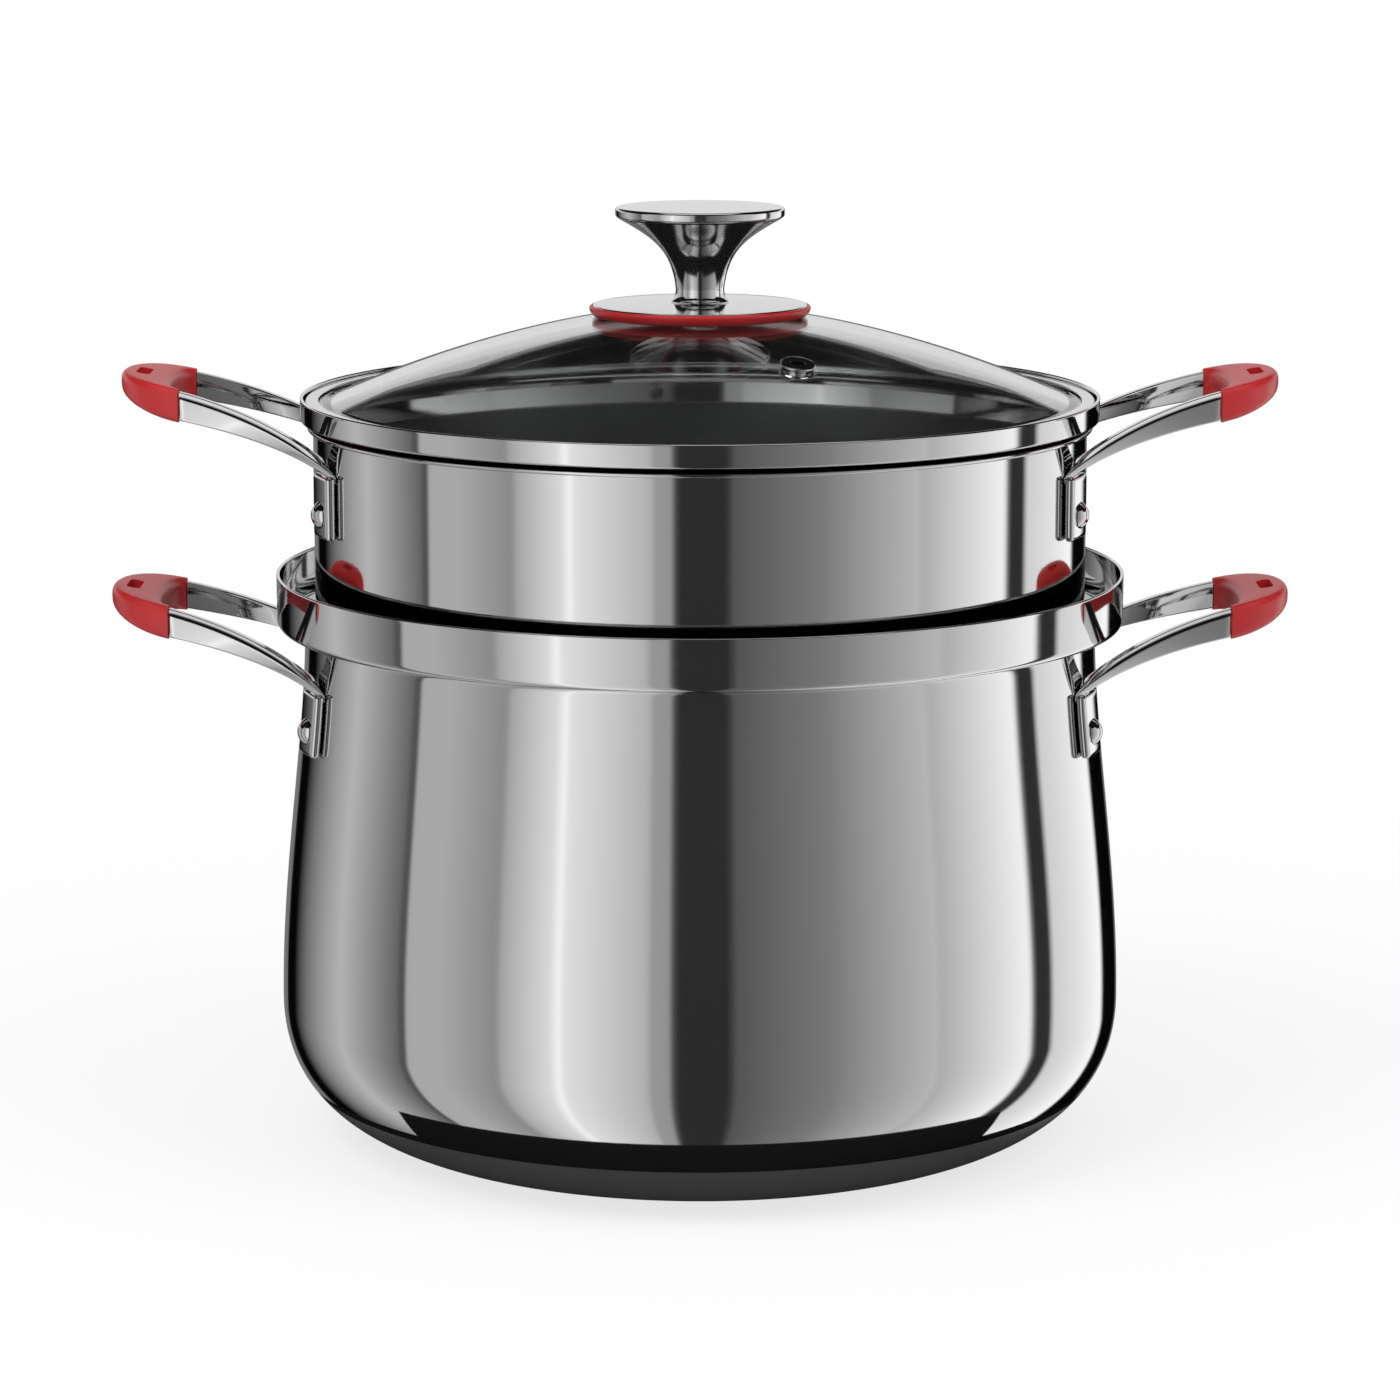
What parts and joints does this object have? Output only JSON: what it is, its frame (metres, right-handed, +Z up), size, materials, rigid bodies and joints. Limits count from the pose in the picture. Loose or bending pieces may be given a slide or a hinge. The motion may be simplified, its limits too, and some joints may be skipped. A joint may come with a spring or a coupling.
{
  "type": "stockpot with steamer insert",
  "caption": "Bell-shaped polished steel stockpot with a stepped collar, a nested steamer insert, loop handles with red silicone grips and a domed glass lid with a trumpet knob.",
  "frame": {"origin": "centre of the base on the surface the pot stands on", "axes": "+Z up along the pot's axis, +X through the handles, -Y towards the viewer of the picture"},
  "size_m": [0.342, 0.246, 0.2703],
  "materials": {
    "polished_steel": "polished",
    "knob_steel": "polished",
    "satin_base": "satin",
    "base_aluminium": "satin",
    "red_silicone": "satin",
    "clear_glass": "gloss"
  },
  "bodies": {
    "pot": {"pot_shell": "polished_steel", "base_core": "base_aluminium", "base_cap": "satin_base", "pot_handle_left": "polished_steel", "pot_grip_left": "red_silicone", "pot_rivet_left_front": "polished_steel", "pot_rivet_left_back": "polished_steel", "pot_handle_right": "polished_steel", "pot_grip_right": "red_silicone", "pot_rivet_right_front": "polished_steel", "pot_rivet_right_back": "polished_steel"},
    "steamer": {"steamer_shell": "polished_steel", "steamer_handle_left": "polished_steel", "steamer_grip_left": "red_silicone", "steamer_rivet_left_front": "polished_steel", "steamer_rivet_left_back": "polished_steel", "steamer_handle_right": "polished_steel", "steamer_grip_right": "red_silicone", "steamer_rivet_right_front": "polished_steel", "steamer_rivet_right_back": "polished_steel"},
    "lid": {"lid_glass": "clear_glass", "lid_band": "polished_steel", "vent_eyelet": "polished_steel", "knob_washer": "red_silicone", "knob_screw": "polished_steel", "knob_seal_ring": "red_silicone", "knob_flange": "knob_steel", "knob_body": "knob_steel", "knob_cap": "knob_steel"}
  },
  "joints": [
    {"name": "steamer_lift", "type": "slide", "parent": "pot", "child": "steamer", "axis": [0, 0, 1], "range_m": [0, 0.12]},
    {"name": "lid_lift", "type": "slide", "parent": "steamer", "child": "lid", "axis": [0, 0, 1], "range_m": [0, 0.12]}
  ]
}
